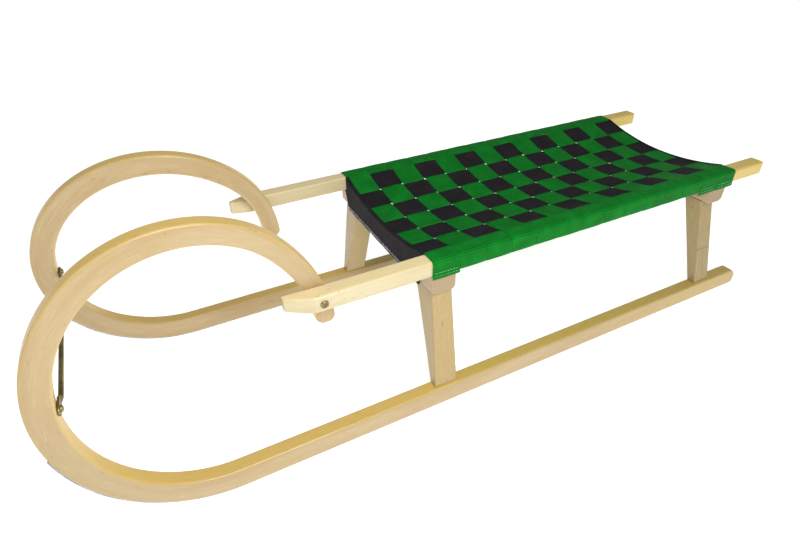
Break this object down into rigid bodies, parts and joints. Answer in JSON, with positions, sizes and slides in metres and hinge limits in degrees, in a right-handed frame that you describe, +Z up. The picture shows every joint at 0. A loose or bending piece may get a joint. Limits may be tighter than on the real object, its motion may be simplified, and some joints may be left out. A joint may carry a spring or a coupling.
{
  "type": "wooden horn sled",
  "caption": "Wooden sled with two steam-bent horn runners, splayed legs, two seat rails and a seat woven from webbing straps, steel soles and a tie rod between the horns.",
  "frame": {"origin": "on the ground under the middle of the sled's length and width", "axes": "+X towards the rear end of the runners, with the horns towards -X; +Z up; the rider's left, facing the horns, is -Y"},
  "size_m": [1.236, 0.395, 0.3868],
  "materials": {
    "beech": "clear-varnished beech, satin",
    "webbing_green": "ribbed polypropylene webbing",
    "webbing_black": "ribbed polypropylene webbing",
    "steel_strip": "rolled strip, lightly rubbed",
    "steel_rod": "dull zinc-plated rod",
    "screw_steel": "zinc-plated screws"
  },
  "bodies": {
    "root": {"cross_strap_01": "webbing_green", "cross_strap_02": "webbing_green", "cross_strap_03": "webbing_green", "cross_strap_04": "webbing_green", "cross_strap_05": "webbing_green", "cross_strap_06": "webbing_green", "cross_strap_07": "webbing_green", "cross_strap_08": "webbing_green", "cross_strap_09": "webbing_green", "cross_strap_10": "webbing_green", "cross_strap_11": "webbing_green", "cross_strap_12": "webbing_green", "cross_strap_13": "webbing_green", "cross_strap_14": "webbing_green", "crossbar_front": "beech", "crossbar_rear": "beech", "front_hem_band": "webbing_black", "horn_screw_left": "screw_steel", "horn_screw_right": "screw_steel", "leg_front_left": "beech", "leg_front_right": "beech", "leg_rear_left": "beech", "leg_rear_right": "beech", "long_strap_1": "webbing_black", "long_strap_2": "webbing_black", "long_strap_3": "webbing_black", "long_strap_4": "webbing_black", "long_strap_5": "webbing_black", "long_strap_6": "webbing_black", "rail_screws": "screw_steel", "rear_hem_band": "webbing_black", "runner_left": "beech", "runner_right": "beech", "runner_sole_left": "steel_strip", "runner_sole_right": "steel_strip", "seat_rail_left": "beech", "seat_rail_right": "beech", "sole_screws_left": "screw_steel", "sole_screws_right": "screw_steel", "tie_rod": "steel_rod", "tie_rod_screws": "screw_steel"}
  },
  "joints": []
}
